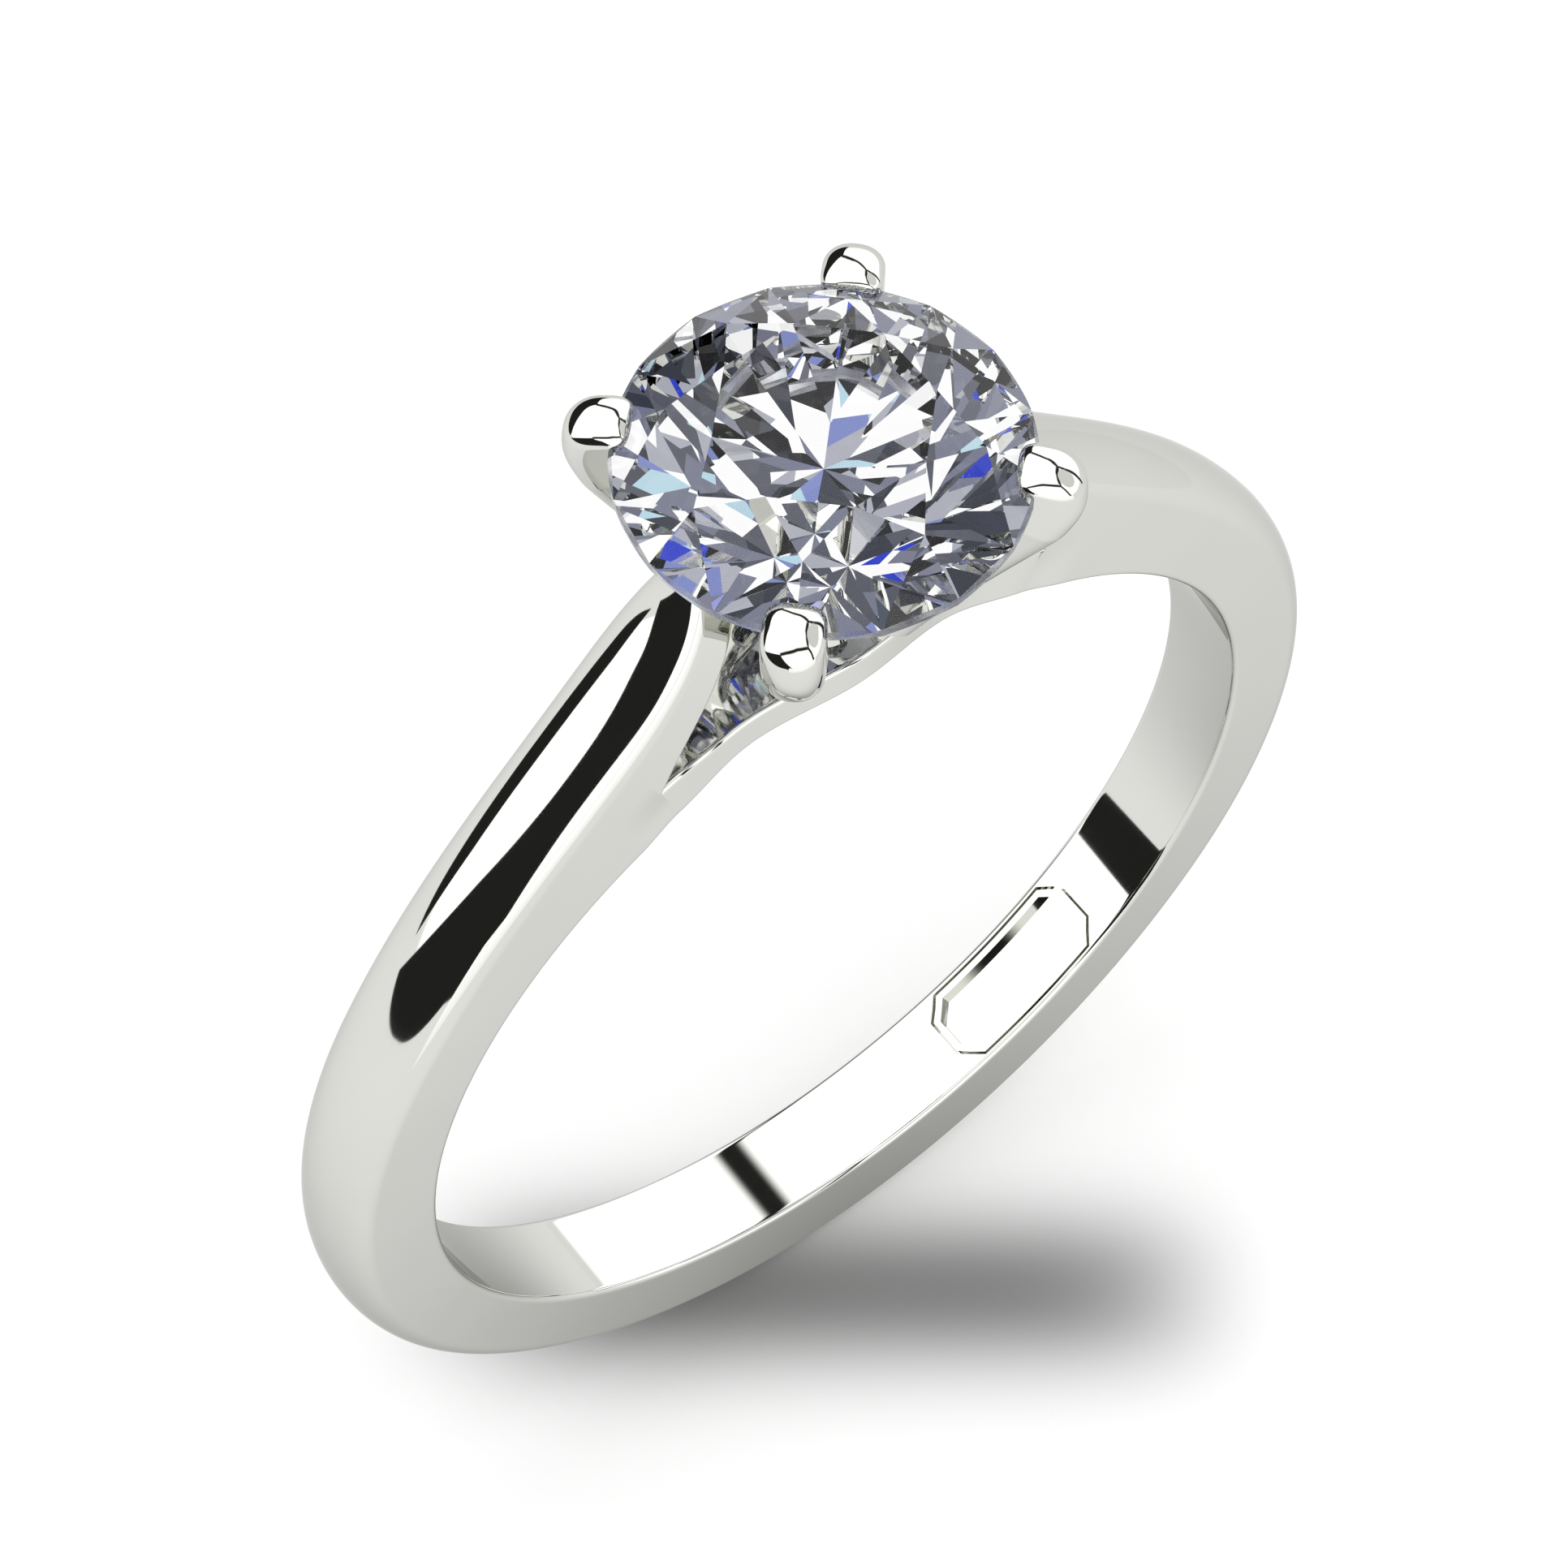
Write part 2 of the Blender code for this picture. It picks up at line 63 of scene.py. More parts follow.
# Band, as in the solids
BORE_EDGE_ROUND = 0.10 * MM
DOME_FOOT = 0.24 * MM
DOME_FLANK = 0.54 * MM
FOOT_SPREAD = math.radians(56)
SHOULDER_START = math.radians(119)
SPLIT_ANGLE = math.radians(23)
PINCH_START_ANGLE = math.radians(29)
PINCH_BLEND = 0.14 * MM
BRIDGE_ROOT_THICKNESS = 1.02 * MM
BRIDGE_ROOT_SETBACK = 0.06 * MM
BRIDGE_THICKNESS = 0.75 * MM
BRIDGE_WAIST_HALF = 0.76 * MM
BRIDGE_WAIST_ANGLE = math.radians(14)
BRIDGE_HUB_MARGIN = 0.25 * MM
BRIDGE_EDGE_ROUND = 0.08 * MM
BRIDGE_SIDE_SHARES = (0.06, 0.5, 0.94)
# Points beside a rounded edge, which keep the flat next to it flat in the shading
NEAR_EDGE = 0.96

# Shoulders, drawn smoother than in the solids. Width and dome fall by a power of the share past the
# start of the taper, and the sections turn square to the curve at a rate that is done before the tip.
SHOULDER_START_HANDLE = 4.8 * MM
SHOULDER_TIP_HANDLE = 2.9 * MM
SHOULDER_TIP_INSET = 0.80 * MM
SHOULDER_TIP_DROP = 0.60 * MM
SHOULDER_TIP_LEAN = math.radians(14)
SHOULDER_TIP_WIDTH = 0.50 * MM
SHOULDER_TIP_DOME = 0.26 * MM
SHOULDER_TIP_SIDE = 0.58 * MM
SHOULDER_TAPER_START = 0.50
SHOULDER_TAPER_POWER = 3.5
SHOULDER_DOME_POWER = 2.5
SHOULDER_TURN_RATE = 1.25

# Stone, as in the solids
TABLE_RADIUS = 1.705 * MM
GIRDLE_THICKNESS = 0.17 * MM
CROWN_ANGLE = math.radians(34.6)
PAVILION_ANGLE = math.radians(41.1)
STAR_LENGTH = 0.5
LOWER_HALF_LENGTH = 0.783
STONE_TURN = math.radians(22.5)
SEAT_GAP = 0.004 * MM

# Claws and collet, as in the solids, with the degrees from +X at which each claw stands
CLAWS = (
    ("claw_back_right", 45),
    ("claw_back_left", 135),
    ("claw_front_left", 225),
    ("claw_front_right", 315),
)
CLAW_FOOT_RADIUS = 1.07 * MM
CLAW_FOOT_ANGLE = math.radians(60.7)
CLAW_FOOT_HANDLE = 3.9 * MM
CLAW_TIP_HANDLE = 1.37 * MM
CLAW_TIP_LEAN = math.radians(16.2)
CLAW_STANDOFF = 0.108 * MM
CLAW_TIP_RISE = 0.564 * MM
CLAW_TIP_WIDTH = 0.96 * MM
CLAW_FOOT_WIDTH = 0.43 * MM
CLAW_TIP_DEPTH = 1.05 * MM
CLAW_FOOT_DEPTH = 0.72 * MM
CLAW_CAP_LENGTH = 0.35 * MM
CLAW_SQUARENESS = 2.23
CLAW_STEM_SQUARENESS = 4.0
CLAW_FULL_AT = 0.59
# The tip is filed to a slope, which comes in between these distances from its end
CLAW_SLOPE = math.radians(20.7)
CLAW_SLOPE_START = 1.16 * MM
CLAW_SLOPE_FULL = 0.24 * MM
COLLET_CLEARANCE = 0.06 * MM
COLLET_TAPER = 0.17 * MM
COLLET_HEIGHT = 0.6 * MM
COLLET_LIP_HEIGHT = 0.16 * MM
COLLET_DISH_DEPTH = 0.08 * MM

# Finish of the metal and of the stone
METAL_EDGE_TINT = (0.74, 0.74, 0.73, 1)
METAL_CLOUD_SCALE = 420.0
METAL_CLOUD_DETAIL = 3.0
METAL_TINTS = ((0.700, 0.705, 0.668, 1), (0.745, 0.750, 0.712, 1))
METAL_ROUGHNESS = (0.025, 0.055)
STONE_IOR = 2.417
STONE_EDGE_TINT = (0.12, 0.12, 0.12, 1)
GIRDLE_GRAIN_SCALE = 9000.0
GIRDLE_ROUGHNESS = (0.12, 0.28)

# Small plate sunk into the bore: a long octagon with a groove round its border
PLATE_ANGLE = math.radians(33.5)
PLATE_LENGTH = 3.7 * MM
PLATE_WIDTH = 1.6 * MM
PLATE_CORNER = 0.4 * MM
PLATE_BORDER = 0.17 * MM
PLATE_DEPTH = 0.20 * MM
PLATE_GROOVE_WIDTH = 0.05 * MM
PLATE_GROOVE_DEPTH = 0.35 * MM

# Fineness of the meshes
FOOT_STEPS = 170
ROOT_STEPS = 70
ARM_STEPS = 90
BRIDGE_STEPS = 150
DOME_STEPS = 44
ROUND_STEPS = 8
SIDE_STEPS = 8
CLAW_STEPS = 90
CLAW_CAP_STEPS = 22
CLAW_SIDES = 64
GIRDLE_SIDES = 288
COLLET_SIDES = 96
PLATE_STEPS = 35
BRIDGE_SEAT_SIDES = 512
HALVINGS = 50
CUT_TOLERANCE = 1e-9
SHARP_ANGLE = math.radians(35)
FACET_SHARP_ANGLE = math.radians(3)

# Worked out from the sizes above
BRIDGE_ROOT_HALF = SHANK_HALF - BRIDGE_ROOT_SETBACK
BRIDGE_HUB_HALF = CLAW_FOOT_RADIUS * math.sin(math.pi / 4) + BRIDGE_HUB_MARGIN
CLAW_FOOT_REACH = CLAW_FOOT_DEPTH / 2 / math.sin(CLAW_FOOT_ANGLE)
COLLET_FOOT_RADIUS = CLAW_FOOT_RADIUS - CLAW_FOOT_REACH - COLLET_CLEARANCE
COLLET_TOP_RADIUS = COLLET_FOOT_RADIUS - COLLET_TAPER
BRIDGE_TOP = BORE_RADIUS + BRIDGE_THICKNESS
PAVILION_DEPTH = STONE_RADIUS * math.tan(PAVILION_ANGLE)
GIRDLE_HEIGHT = CULET_HEIGHT + PAVILION_DEPTH + GIRDLE_THICKNESS / 2
FLOOR_HEIGHT = SHANK_LOW.z

# Camera, found from the photograph
IMAGE_SIZE = 1932
CAMERA_PLACE = Vector((-24.686, -31.447, 69.815)) * MM
CAMERA_RIGHT = Vector((0.7971, -0.6039, 0.0017))
CAMERA_UP = Vector((0.5148, 0.6809, 0.5210))
FOCAL_PIXELS = 5732.9
SENSOR = 36.0
CAMERA_CLIP = (1 * MM, 10.0)

# Studio: what the polished metal shows in the photograph, as directions in degrees (azimuth, elevation).
# White panels all round, a black opening on the left, and dark seams between the panels.
CARD_DISTANCE = 0.4
CARD_COLOUR = "glow"
CARD_STEPS = 48
CARD_ROWS = 16
FLAG_BLACK = Vector((0.018, 0.018, 0.017))
STUDIO_LEVEL = 1.5
STUDIO_WHITE = Vector((STUDIO_LEVEL, STUDIO_LEVEL, STUDIO_LEVEL))
PAPER_WHITE = Vector((1.0, 1.0, 1.0))
FLAGS = (
    ("front_left",
     ((146, -6), (180, -6), (215, -6), (230, -11)),
     ((146, -6), (165, 14), (182, 26), (197, 33), (213, 20), (222, 8), (227, 0), (230, -11))),
    ("back_left",
     ((54, -5), (80, -9), (100, -8), (119, -5), (130, -5), (141, -4)),
     ((54, -5), (71, 28), (85, 24), (100, 21), (119, 17), (132, 10), (138, 5), (141, -4))),
)
SEAM_SOFTNESS = 0.3
SEAMS = (
    ("front_seam", ((197, 33), (218, 45), (240, 52), (262, 50), (284, 43)), 11.0),
    ("right_seam", ((284, 43), (301, 56), (335, 60), (0, 50)), 10.0),
    ("back_seam", ((0, 50), (16, 50.5), (33, 48.6), (48, 45.5), (61, 38.5), (72, 27)), 9.4),
    ("front_corner", ((284, 43), (287, 28), (288, 8), (292, -12)), 8.0),
    ("back_corner", ((0, 50), (351, 38), (347, 22), (343, 5), (341, -12)), 8.0),
)
SIDE_PANEL = (324, 38, 21)
SIDE_PANEL_GREY = Vector((0.84, 0.84, 0.83))
FRONT_SKIRT = (
    ((222, -30), (240, -30), (270, -30), (296, -30)),
    ((222, -1), (240, -1), (270, -1), (296, -1)))
# Below the horizon the metal shows paper, which dims towards the right, and above it panels
SKY_LEVELS = ((-2, 1.0), (-1, STUDIO_LEVEL))
RIGHT_LEVEL = 0.95
RIGHT_FULL_AT = 0.5

# What the stone gathers: a patchwork of small panels, lighter towards the front and darker in one
# spot above. Each tone starts at a share.
PATCH_SCALE = 4.0
PATCH_SHIFT = (0.342, 6.135, 7.584)
PATCH_TOWARDS = (0.0, -0.15, 0.0)
PATCH_DARK_WAY = (135, 81)
PATCH_DARK_SPREAD = (18, 8)
PATCH_DARK_DEPTH = 0.4
PATCH_TONES = (
    (0.00, (0.014, 0.014, 0.016)),
    (0.13, (0.042, 0.046, 0.064)),
    (0.27, (0.100, 0.105, 0.135)),
    (0.40, (0.190, 0.200, 0.270)),
    (0.53, (0.025, 0.050, 0.560)),
    (0.57, (0.210, 0.260, 0.560)),
    (0.61, (0.480, 0.680, 0.780)),
    (0.64, (0.420, 0.430, 0.490)),
    (0.74, (1.000, 1.000, 1.000)),
)

# Floor, with a soft shadow painted into its colour under the ring: a bar across the camera's view, and a
# wide painted shade in reflections
FLOOR_REACH = 1.0
FLOOR_RINGS = 260
FLOOR_SIDES = 192
FLOOR_CROWDING = 3
FLOOR_ROUGHNESS = 0.9
FLOOR_LIFT = 0.10
SHADE_CENTRE = Vector((-1.15, -1.92)) * MM
SHADE_TURN = math.atan2(CAMERA_RIGHT.y, CAMERA_RIGHT.x)
SHADE_HALF_LENGTH = 7.12 * MM
SHADE_HALF_WIDTH = 1.82 * MM
SHADE_LENGTH_POWER = 6.0
SHADE_WIDTH_POWER = 2.25
SHADE_DEPTH = 0.77
MIRRORED_REACH = 0.05
MIRRORED_RINGS = 100
MIRRORED_DROP = 0.02 * MM
MIRRORED_SHADE_DEPTH = 0.76
MIRRORED_SHADE_CENTRE = Vector((-0.5, 0.3)) * MM
MIRRORED_SHADE_LENGTH = 9.6 * MM
MIRRORED_SHADE_WIDTH = 4.4 * MM
MIRRORED_SHADE_POWER = 0.6

# Depth of the paths of light, which the stone needs
MAX_BOUNCES = 24
GLOSSY_BOUNCES = 12
TRANSMISSION_BOUNCES = 24


def smooth(share):
    """Eases from 0 to 1 with level ends."""
    share = min(max(share, 0.0), 1.0)
    return share * share * (3.0 - 2.0 * share)


def ease(share):
    """Like smooth, but without a break in the bend at either end."""
    share = min(max(share, 0.0), 1.0)
    return share ** 3 * (share * (share * 6.0 - 15.0) + 10.0)


def mix(first, second, share):
    return first + (second - first) * share


def steps(count):
    """Shares from 0 to 1, both ends counted."""
    return [step / count for step in range(count + 1)]


def bezier(points, share):
    """A point on a cubic curve, and the curve's unit direction there."""
    a, b, c, d = points
    rest = 1.0 - share
    place = a * rest ** 3 + b * (3 * rest ** 2 * share) + c * (3 * rest * share ** 2) + d * share ** 3
    along = (b - a) * (3 * rest ** 2) + (c - b) * (6 * rest * share) + (d - c) * (3 * share ** 2)
    return place, along.normalized()


def last_share(holds):
    """The share from 0 to 1 up to which a condition holds, found by halving."""
    low, high = 0.0, 1.0
    for _ in range(HALVINGS):
        middle = (low + high) / 2
        if holds(middle):
            low = middle
        else:
            high = middle
    return low


def right_of(direction):
    """The outward side of a path that runs up the right half of the ring."""
    return Vector((direction.y, -direction.x))


def polar(radius, angle, height):
    return Vector((radius * math.cos(angle), radius * math.sin(angle), height))


def mesh_object(name, bm, material, sharp_angle=SHARP_ANGLE):
    bmesh.ops.recalc_face_normals(bm, faces=bm.faces)
    mesh = bpy.data.meshes.new(name)
    bm.to_mesh(mesh)
    bm.free()
    if material:
        mesh.materials.append(material)
    mesh.shade_smooth()
    mesh.set_sharp_from_angle(angle=sharp_angle)
    item = bpy.data.objects.new(name, mesh)
    bpy.context.scene.collection.objects.link(item)
    return item


def loft(name, rings, material):
    """Skins equal rings of points, one after another, and caps both ends."""
    bm = bmesh.new()
    loops = [[bm.verts.new(point) for point in ring] for ring in rings]
    count = len(rings[0])
    for low, high in zip(loops, loops[1:]):
        for i in range(count):
            j = (i + 1) % count
            bm.faces.new((low[i], low[j], high[j], high[i]))
    bm.faces.new(loops[0])
    bm.faces.new(loops[-1])
    return mesh_object(name, bm, material)


def cut(item, cutter):
    """Cuts one shape out of another for good, and leaves no face with more than four corners."""
    modifier = item.modifiers.new(cutter.name, "BOOLEAN")
    modifier.operation = "DIFFERENCE"
    modifier.solver = "EXACT"
    modifier.object = cutter
    graph = bpy.context.evaluated_depsgraph_get()
    mesh = bpy.data.meshes.new_from_object(item.evaluated_get(graph))
    item.modifiers.clear()
    item.data = mesh
    bm = bmesh.new()
    bm.from_mesh(mesh)
    many_sided = [face for face in bm.faces if len(face.verts) > 4]
    bmesh.ops.triangulate(bm, faces=many_sided, quad_method="BEAUTY", ngon_method="BEAUTY")
    bm.to_mesh(mesh)
    bm.free()
    mesh.shade_smooth()
    mesh.set_sharp_from_angle(angle=SHARP_ANGLE)


def remove(items):
    for item in items:
        bpy.data.objects.remove(item, do_unlink=True)


def dress(item, node):
    """Puts a finished piece in place of its solid."""
    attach(item, ROOT)
    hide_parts(node)


# The band. Its rim is where the flat side meets the dome, drawn in the XZ plane on the right half.

def hoop_dome(angle):
    """Height of the dome at an angle from the foot of the hoop."""
    return mix(DOME_FOOT, DOME_FLANK, smooth(angle / FOOT_SPREAD))


def hoop_rim(angle):
    radius = BORE_RADIUS + SHANK_THICKNESS - hoop_dome(angle)
    return Vector((math.sin(angle), -math.cos(angle))) * radius


def shoulder_curve():
    """The rim from where it leaves the hoop to under the stone."""
    start = hoop_rim(SHOULDER_START)
    leave = Vector((math.cos(SHOULDER_START), math.sin(SHOULDER_START)))
    tip = Vector((STONE_RADIUS - SHOULDER_TIP_INSET, GIRDLE_HEIGHT - SHOULDER_TIP_DROP))
    arrive = Vector((-math.sin(SHOULDER_TIP_LEAN), math.cos(SHOULDER_TIP_LEAN)))
    return (start, start + leave * SHOULDER_START_HANDLE, tip - arrive * SHOULDER_TIP_HANDLE, tip)


SHOULDER = shoulder_curve()


def share_at(angle):
    """The share of the shoulder's curve that lies at an angle from the top."""
    def is_below(share):
        place, _ = bezier(SHOULDER, share)
        return math.atan2(place.x, place.y) > angle
    return last_share(is_below)


def shoulder_taper(share):
    return max(0.0, share - SHOULDER_TAPER_START) / (1.0 - SHOULDER_TAPER_START)


def shoulder_half_width(share):
    return mix(SHANK_HALF, SHOULDER_TIP_WIDTH / 2, shoulder_taper(share) ** SHOULDER_TAPER_POWER)


def shoulder_dome(share):
    return mix(DOME_FLANK, SHOULDER_TIP_DOME, shoulder_taper(share) ** SHOULDER_DOME_POWER)


def round_edge(half, radius):
    """Height and half width along a rounded lower edge, from the underside to the flat side."""
    points = []
    for share in steps(ROUND_STEPS):
        turn = math.pi / 2 * share
        points.append((radius * (1.0 - math.cos(turn)), half - radius * (1.0 - math.sin(turn))))
    return points


def flank(base_half, rim_half, height, low_height):
    """Height and half width up the flat side, which may step in below a given height."""
    points = []
    for share in steps(SIDE_STEPS):
        lift = mix(BORE_EDGE_ROUND, height, 0.5 - 0.5 * math.cos(math.pi * share))
        step = smooth((lift - low_height) / PINCH_BLEND + 0.5)
        points.append((lift, mix(base_half, rim_half, step)))
    return points[1:-1]


def band_ring(base, base_half, rim, rim_half, outward, dome, low_height=0.0):
    """One closed section of the band: flat underside, rounded edges, flat sides and a domed top."""
    height = (rim - base).dot(outward)
    side = round_edge(base_half, BORE_EDGE_ROUND) + flank(base_half, rim_half, height, low_height)
    profile = [(0.0, 0.0), (0.0, base_half * 0.5), (0.0, (base_half - BORE_EDGE_ROUND) * NEAR_EDGE)] + side
    for share in steps(DOME_STEPS // 2)[:-1]:
        turn = math.pi / 2 * share
        profile.append((height + dome * math.sin(turn), rim_half * math.cos(turn)))
    top = (height + dome, 0.0)
    mirror = [(lift, -half) for lift, half in profile[:0:-1]]
    ring = []
    for lift, half in profile + [top] + mirror:
        place = base + outward * lift
        ring.append(Vector((place.x, half, place.y)))
    return ring


def mirrored(ring):
    """The same section on the left half of the ring."""
    return [Vector((-point.x, point.y, point.z)) for point in ring]


def foot_ring(angle):
    outward = Vector((math.sin(angle), -math.cos(angle)))
    base = outward * BORE_RADIUS
    return band_ring(base, SHANK_HALF, hoop_rim(angle), SHANK_HALF, outward, hoop_dome(angle))


def shoulder_root_ring(share):
    """A section of the shank where its outside already follows the shoulder's curve."""
    rim, along = bezier(SHOULDER, share)
    outward = rim.normalized()
    angle = math.atan2(rim.x, rim.y)
    pinch = smooth((PINCH_START_ANGLE - angle) / (PINCH_START_ANGLE - SPLIT_ANGLE))
    base_half = mix(SHANK_HALF, BRIDGE_ROOT_HALF, pinch)
    dome = shoulder_dome(share) / outward.dot(right_of(along))
    base = outward * BORE_RADIUS
    rim_half = shoulder_half_width(share)
    return band_ring(base, base_half, rim, rim_half, outward, dome, BRIDGE_ROOT_THICKNESS)


def make_plate_cutter(name, inset, depth):
    """A long octagon that follows the bore, to sink into it."""
    half_length = PLATE_LENGTH / 2 - inset
    half_width = PLATE_WIDTH / 2 - inset
    corner = PLATE_CORNER - inset * math.tan(math.pi / 8)
    straight = half_length - corner
    stations = [mix(-straight, straight, share) for share in steps(PLATE_STEPS)]
    stations = [-half_length] + stations + [half_length]
    rings = []
    for station in stations:
        angle = PLATE_ANGLE + station / BORE_RADIUS
        half = half_width - max(0.0, abs(station) - straight)
        ring = []
        for radius, side in ((BORE_RADIUS - depth, half), (BORE_RADIUS + depth, half),
                             (BORE_RADIUS + depth, -half), (BORE_RADIUS - depth, -half)):
            ring.append(Vector((math.sin(angle) * radius, side, -math.cos(angle) * radius)))
        rings.append(ring)
    return loft(name, rings, None)


def make_shank(material):
    split = share_at(SPLIT_ANGLE)
    half = [foot_ring(SHOULDER_START * share) for share in steps(FOOT_STEPS)]
    half += [shoulder_root_ring(split * share) for share in steps(ROOT_STEPS)[1:]]
    left = [mirrored(ring) for ring in half[:0:-1]]
    shank = loft("shank_polished", left + half, material)
    groove = make_plate_cutter("groove_cutter", 0.0, PLATE_GROOVE_DEPTH)
    island = make_plate_cutter("island_cutter", PLATE_GROOVE_WIDTH, 2.0 * PLATE_GROOVE_DEPTH)
    recess = make_plate_cutter("recess_cutter", PLATE_BORDER, PLATE_DEPTH)
    cut(groove, island)
    for cutter in (groove, recess):
        cut(shank, cutter)
    remove((groove, island, recess))
    return shank


def shoulder_frames():
    """Rim, outward direction, half width, dome and side height of each section of a free shoulder."""
    root = share_at(SPLIT_ANGLE)
    root_rim, _ = bezier(SHOULDER, root)
    root_side = root_rim.length - BORE_RADIUS - BRIDGE_ROOT_THICKNESS
    frames = []
    for arm_share in steps(ARM_STEPS):
        share = mix(root, 1.0, arm_share)
        rim, along = bezier(SHOULDER, share)
        normal = right_of(along)
        outward = rim.normalized().lerp(normal, ease(arm_share * SHOULDER_TURN_RATE)).normalized()
        slant = outward.dot(normal)
        side = mix(SHOULDER_TIP_SIDE, root_side, (1.0 - arm_share) ** 2)
        frames.append((rim, outward, shoulder_half_width(share), shoulder_dome(share) / slant, side))
    return frames


def make_shoulder(name, is_left, stone_seat, material):
    rings = []
    for rim, outward, half_width, dome, side in shoulder_frames():
        base = rim - outward * side
        rings.append(band_ring(base, half_width, rim, half_width, outward, dome))
    if is_left:
        rings = [mirrored(ring) for ring in rings]
    shoulder = loft(name, rings, material)
    cut(shoulder, stone_seat)
    return shoulder


def bridge_half_width(angle):
    """Half the bridge's width at an angle from the top: wide at its roots and hub, slim at its waists."""
    if angle > BRIDGE_WAIST_ANGLE:
        share = smooth((angle - BRIDGE_WAIST_ANGLE) / (SPLIT_ANGLE - BRIDGE_WAIST_ANGLE))
        return mix(BRIDGE_WAIST_HALF, BRIDGE_ROOT_HALF, share)
    return mix(BRIDGE_HUB_HALF, BRIDGE_WAIST_HALF, smooth(angle / BRIDGE_WAIST_ANGLE))


def bridge_height(angle):
    share = smooth((angle - BRIDGE_WAIST_ANGLE) / (SPLIT_ANGLE - BRIDGE_WAIST_ANGLE))
    return mix(BRIDGE_THICKNESS, BRIDGE_ROOT_THICKNESS, share)


def bridge_ring(angle):
    outward = Vector((math.sin(angle), math.cos(angle)))
    half = bridge_half_width(abs(angle))
    height = bridge_height(abs(angle))
    lower = round_edge(half, BORE_EDGE_ROUND)
    upper = [(height - lift, reach) for lift, reach in round_edge(half, BRIDGE_EDGE_ROUND)]
    inner = (half - BRIDGE_EDGE_ROUND) * NEAR_EDGE
    side_top = height - BRIDGE_EDGE_ROUND
    middle = [(mix(BORE_EDGE_ROUND, side_top, share), half) for share in BRIDGE_SIDE_SHARES]
    profile = [(0.0, 0.0), (0.0, half * 0.5), (0.0, inner)] + lower + middle + upper[::-1]
    profile += [(height, inner), (height, half * 0.5), (height, 0.0)]
    mirror = [(lift, -reach) for lift, reach in profile[-2:0:-1]]
    ring = []
    for lift, reach in profile + mirror:
        place = outward * (BORE_RADIUS + lift)
        ring.append(Vector((place.x, reach, place.y)))
    return ring


def make_bridge(material):
    rings = [bridge_ring(mix(-SPLIT_ANGLE, SPLIT_ANGLE, share)) for share in steps(BRIDGE_STEPS)]
    return loft("bridge_polished", rings, material)


# The stone is cut as a lapidary cuts it: a round blank, then one flat after another.

def plane_through(a, b, c):
    """Unit normal, pointing away from the middle of the stone, and distance from the middle."""
    normal = (b - a).cross(c - a).normalized()
    distance = normal.dot(a)
    if distance < 0:
        normal, distance = -normal, -distance
    return normal, distance


def facet_planes():
    """All the flats of a round brilliant, about the middle of its girdle."""
    eighth = math.pi / 4
    half_girdle = GIRDLE_THICKNESS / 2
    ridge = math.cos(eighth / 2)
    star_radius = mix(TABLE_RADIUS * ridge, STONE_RADIUS, STAR_LENGTH)
    table_height = half_girdle + (STONE_RADIUS - TABLE_RADIUS) * math.tan(CROWN_ANGLE)
    star_height = half_girdle + (STONE_RADIUS - star_radius * ridge) * math.tan(CROWN_ANGLE)
    lower_radius = STONE_RADIUS * (1.0 - LOWER_HALF_LENGTH)
    lower_height = -half_girdle - (STONE_RADIUS - lower_radius * ridge) * math.tan(PAVILION_ANGLE)
    planes = [(Vector((0, 0, 1)), table_height)]
    for k in range(8):
        main = k * eighth
        for angle, lift in ((CROWN_ANGLE, 1.0), (PAVILION_ANGLE, -1.0)):
            normal = polar(math.sin(angle), main, lift * math.cos(angle))
            planes.append((normal, STONE_RADIUS * math.sin(angle) + half_girdle * math.cos(angle)))
        corner = polar(TABLE_RADIUS, main, table_height)
        next_corner = polar(TABLE_RADIUS, main + eighth, table_height)
        star = polar(star_radius, main + eighth / 2, star_height)
        lower = polar(lower_radius, main + eighth / 2, lower_height)
        planes.append(plane_through(corner, next_corner, star))
        for point, height in ((star, half_girdle), (lower, -half_girdle)):
            middle = polar(STONE_RADIUS, main + eighth / 2, height)
            for end in (main, main + eighth):
                planes.append(plane_through(point, middle, polar(STONE_RADIUS, end, height)))
    return planes


def make_brilliant(name, grow, material):
    """The stone, or a cutter of its shape grown by a clearance."""
    bm = bmesh.new()
    radius = STONE_RADIUS + grow
    depth = 2.0 * (PAVILION_DEPTH + GIRDLE_THICKNESS)
    bmesh.ops.create_cone(
        bm, cap_ends=True, segments=GIRDLE_SIDES, radius1=radius, radius2=radius, depth=depth)
    for normal, distance in facet_planes():
        shape = bm.verts[:] + bm.edges[:] + bm.faces[:]
        place = normal * (distance + grow)
        result = bmesh.ops.bisect_plane(
            bm, geom=shape, dist=CUT_TOLERANCE, plane_co=place, plane_no=normal, clear_outer=True)
        rim = [part for part in result["geom_cut"] if isinstance(part, bmesh.types.BMEdge)]
        if len(rim) > 2:
            bmesh.ops.contextual_create(bm, geom=rim)
    bmesh.ops.rotate(bm, verts=bm.verts, matrix=Matrix.Rotation(STONE_TURN, 3, "Z"))
    bmesh.ops.translate(bm, verts=bm.verts, vec=Vector((0, 0, GIRDLE_HEIGHT)))
    return mesh_object(name, bm, material, sharp_angle=FACET_SHARP_ANGLE)


def claw_path():
    foot = Vector((CLAW_FOOT_RADIUS, BRIDGE_TOP))
    rise = Vector((math.cos(CLAW_FOOT_ANGLE), math.sin(CLAW_FOOT_ANGLE)))
    tip = Vector((STONE_RADIUS + CLAW_STANDOFF, GIRDLE_HEIGHT + CLAW_TIP_RISE))
    arrive = Vector((-math.sin(CLAW_TIP_LEAN), math.cos(CLAW_TIP_LEAN)))
    return (foot, foot + rise * CLAW_FOOT_HANDLE, tip - arrive * CLAW_TIP_HANDLE, tip)


def share_before_tip(path, distance):
    """The share of a path at which a given distance is left to its end."""
    def is_further(share):
        place, _ = bezier(path, share)
        return (path[3] - place).length > distance
    return last_share(is_further)


